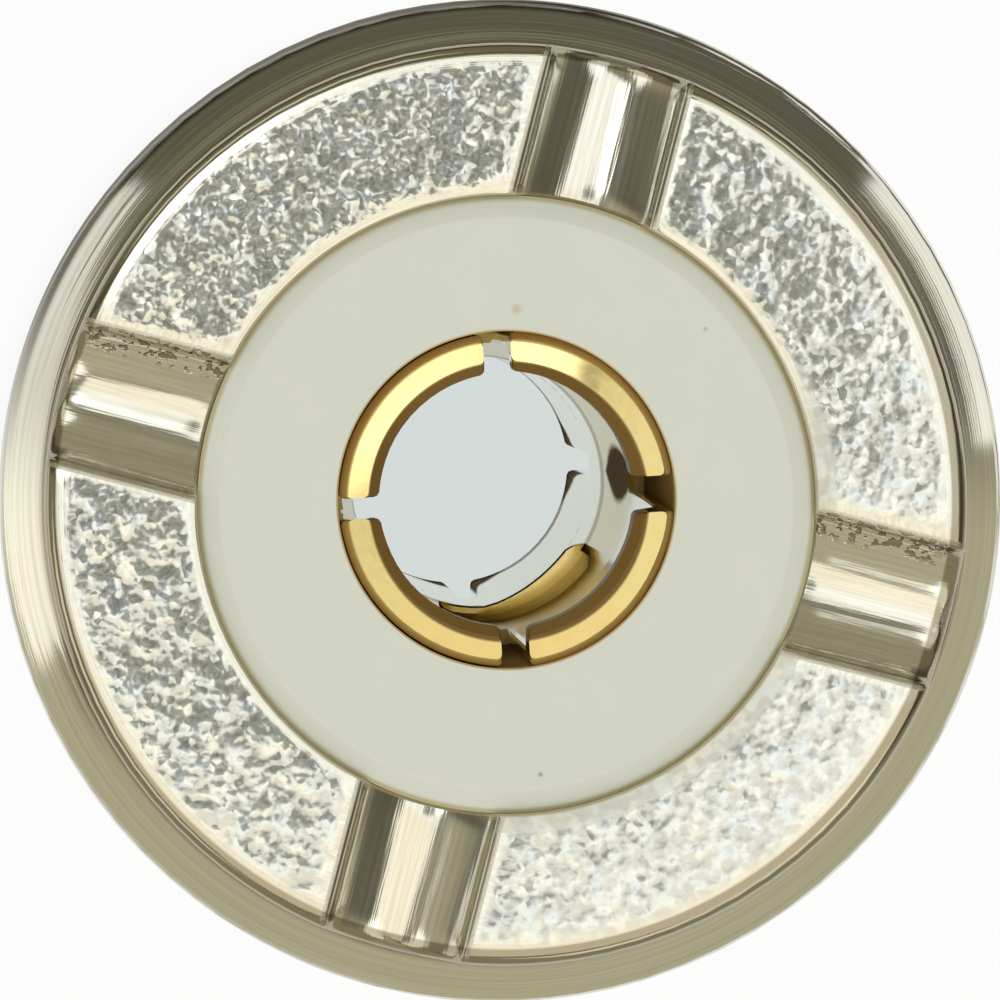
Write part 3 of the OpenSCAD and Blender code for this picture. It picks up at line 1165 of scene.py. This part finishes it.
# %% Camera
TILT = math.radians(2.35)
TOWARDS = Vector((-0.85, 0.53, 0.0)).normalized()
REACH = 0.190
SENSOR, MARGIN = 36.0, 1.0057  # width of the sensor in mm, and how far the part overfills it
aim = Vector((-0.031 * MM, 0.028 * MM, 26.8 * MM))
back = Vector((0, 0, 1)) * math.cos(TILT) + TOWARDS * math.sin(TILT)
camera_data = bpy.data.cameras.new("camera")
camera = put("camera", camera_data)
right_hand = (-back).cross(Vector((0, 1, 0))).normalized()
axes = Matrix((right_hand, back.cross(right_hand), back)).transposed().to_4x4()
camera.matrix_world = Matrix.Translation(aim + back * REACH) @ axes
camera_data.sensor_width = SENSOR
camera_data.lens = SENSOR * REACH / (2 * BODY["Crest radius"] * MM) * MARGIN
camera_data.clip_start, camera_data.clip_end = 0.01, 10.0
bpy.context.scene.camera = camera
print("lens", round(camera_data.lens, 1), "mm")

# %% [markdown]
# A camera this close shows up in a shiny face. Blender's camera can't be seen, so a round card takes
# the place of its lens: dark glass, a bright ring round it, and a dark body outside.

# %% Lens card
CARD_RADIUS = 0.020
CARD_BEHIND, CARD_ASIDE = 0.004, Vector((0.0065, 0.003, 0.0))
lens_card = flat_disc("lens_card", CARD_RADIUS)
card_place = aim + back * (REACH + CARD_BEHIND) + CARD_ASIDE
lens_card.data.transform(Matrix.Translation(card_place) @ axes)
lens_card.visible_camera = False
lens_paint, unlit, point = finish_of("dark_lens")
point.tree.nodes.remove(unlit)
from_lens = point.node(
    "ShaderNodeVectorMath", {0: point, 1: card_place / MM}, {"operation": "DISTANCE"}, out="Value"
)
past_glass, past_ring = from_lens.step(5.5, 9.5), from_lens.step(10.5, 14.0)
tone = blend(past_glass, (0.02, 0.023, 0.02), (0.62, 0.63, 0.55))
tone = blend(past_ring, tone, (0.05, 0.054, 0.048))
show(lens_card, lens_paint, tone.node("ShaderNodeEmission", {"Color": tone}))
print("lens card radius", CARD_RADIUS, "m")

# %% [markdown]
# Past the floor the camera sees the world, which is plain white. The Standard view keeps it white.

# %% World and view
world = bpy.data.worlds.new("studio")
bpy.context.scene.world = world
world.use_nodes = True
background = world.node_tree.nodes["Background"].inputs
background["Color"].default_value = (1.0, 1.0, 1.0, 1.0)
background["Strength"].default_value = 1.0
bpy.context.scene.view_settings.view_transform = "Standard"
print("view:", bpy.context.scene.view_settings.view_transform)
